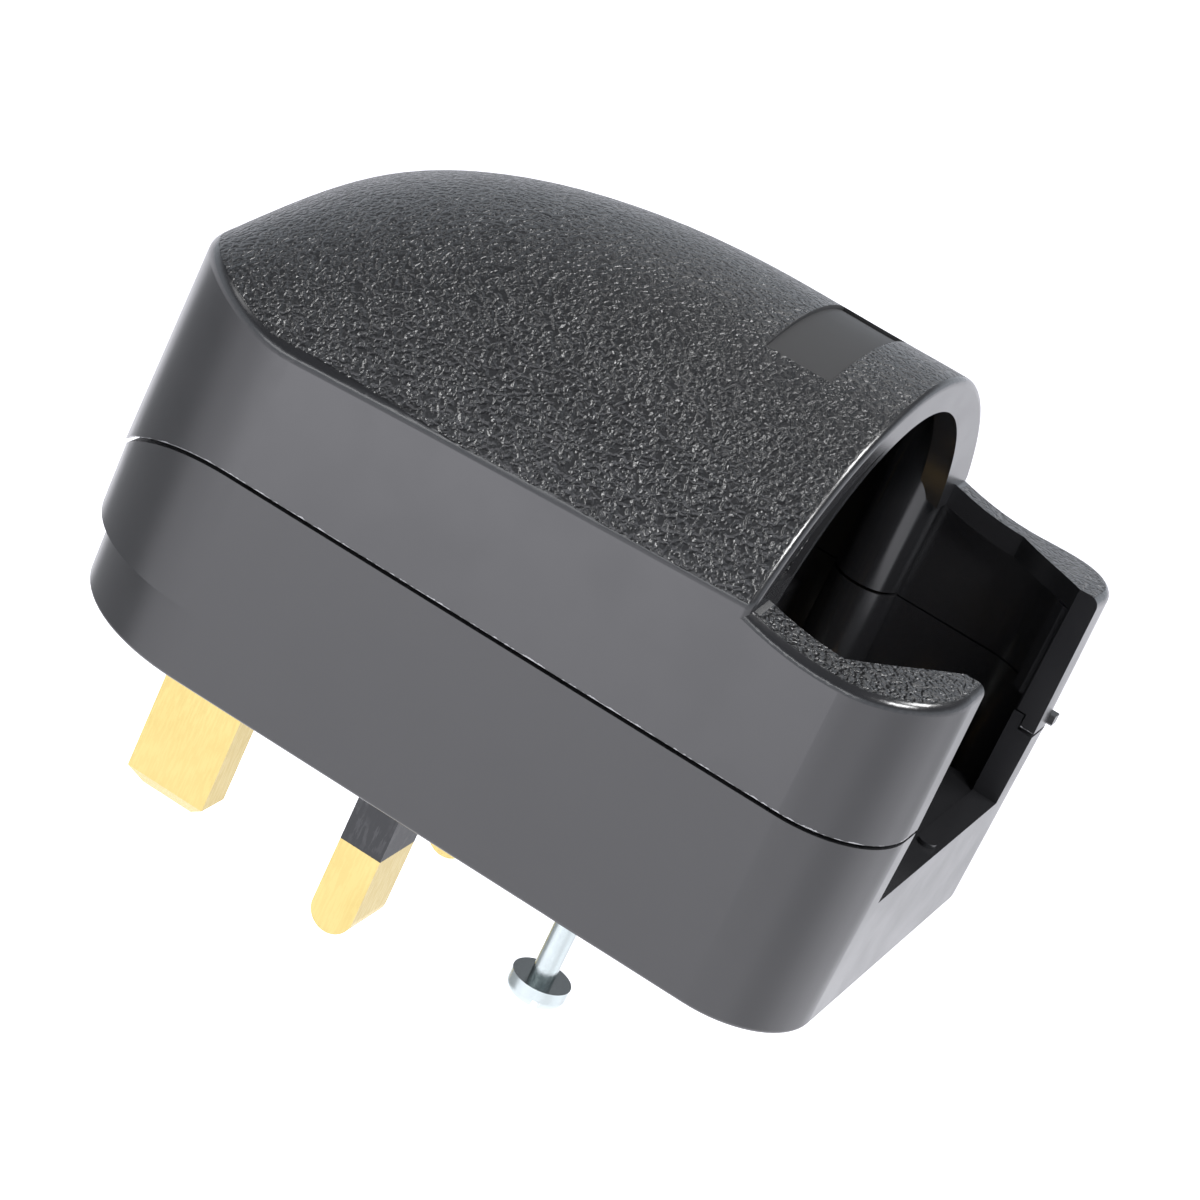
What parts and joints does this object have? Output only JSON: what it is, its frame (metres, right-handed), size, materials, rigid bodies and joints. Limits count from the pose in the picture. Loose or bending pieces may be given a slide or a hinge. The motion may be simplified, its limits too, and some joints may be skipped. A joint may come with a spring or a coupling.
{
  "type": "earthed plug converter",
  "caption": "Black clamshell converter that encloses a round two-pin earthed plug lying sideways and turns it into a fused three-pin plug, held shut by captive clamp screws.",
  "frame": {"origin": "on the pin face, midway between the line pin and the neutral pin", "axes": "+X across the case towards the line pin, +Y from the cable end towards the earth pin, +Z from the pin face to the crown of the cover"},
  "size_m": [0.0502, 0.0737, 0.068],
  "materials": {
    "case_base": "smooth black moulded nylon",
    "case_cover": "black moulded nylon, smooth walls and a fine leather grain on top",
    "pin_brass": "drawn brass",
    "sleeve_plastic": "dark grey insulating sleeve",
    "insert_plastic": "matt black moulded insert",
    "contact_brass": "rolled brass",
    "strap_steel": "tinned spring strip",
    "strip_brass": "punched brass strip",
    "clip_bronze": "spring bronze",
    "fuse_ceramic": "plain glazed tube",
    "fuse_cap_metal": "nickel plated cap",
    "carrier_plastic": "dark moulded carrier",
    "screw_zinc": "bright zinc plated steel",
    "washer_nylon": "natural nylon",
    "threaded_brass": "turned brass",
    "insert_screw_zinc": "bright zinc plated steel"
  },
  "bodies": {
    "base": {"base_housing": "case_base", "line_pin": "pin_brass", "neutral_pin": "pin_brass", "line_pin_sleeve": "sleeve_plastic", "neutral_pin_sleeve": "sleeve_plastic", "earth_pin": "pin_brass", "socket_insert": "insert_plastic", "line_socket_contact": "contact_brass", "neutral_socket_contact": "contact_brass", "earth_contact_strap": "strap_steel", "supply_strip": "strip_brass", "load_strip": "strip_brass", "neutral_strip": "strip_brass", "earth_strip": "strip_brass", "supply_fuse_clip": "clip_bronze", "load_fuse_clip": "clip_bronze", "captive_washers": "washer_nylon", "insert_screws": "insert_screw_zinc"},
    "cover": {"cover": "case_cover", "threaded_inserts": "threaded_brass"},
    "clamp_screw_left": {"clamp_screw_left": "screw_zinc"},
    "clamp_screw_right": {"clamp_screw_right": "screw_zinc"},
    "fuse_carrier": {"fuse_carrier": "carrier_plastic", "fuse_tube": "fuse_ceramic", "fuse_cap_left": "fuse_cap_metal", "fuse_cap_right": "fuse_cap_metal"}
  },
  "joints": [
    {"name": "cover_lift", "type": "slide", "parent": "base", "child": "cover", "axis": [0, 0, 1], "range_m": [0, 0.045]},
    {"name": "screw_left_travel", "type": "slide", "parent": "base", "child": "clamp_screw_left", "axis": [0, 0, 1], "range_m": [0, 0.0092]},
    {"name": "screw_right_travel", "type": "slide", "parent": "base", "child": "clamp_screw_right", "axis": [0, 0, 1], "range_m": [0, 0.0092]},
    {"name": "fuse_carrier_pull", "type": "slide", "parent": "base", "child": "fuse_carrier", "axis": [0, 0, -1], "range_m": [0, 0.014]}
  ]
}
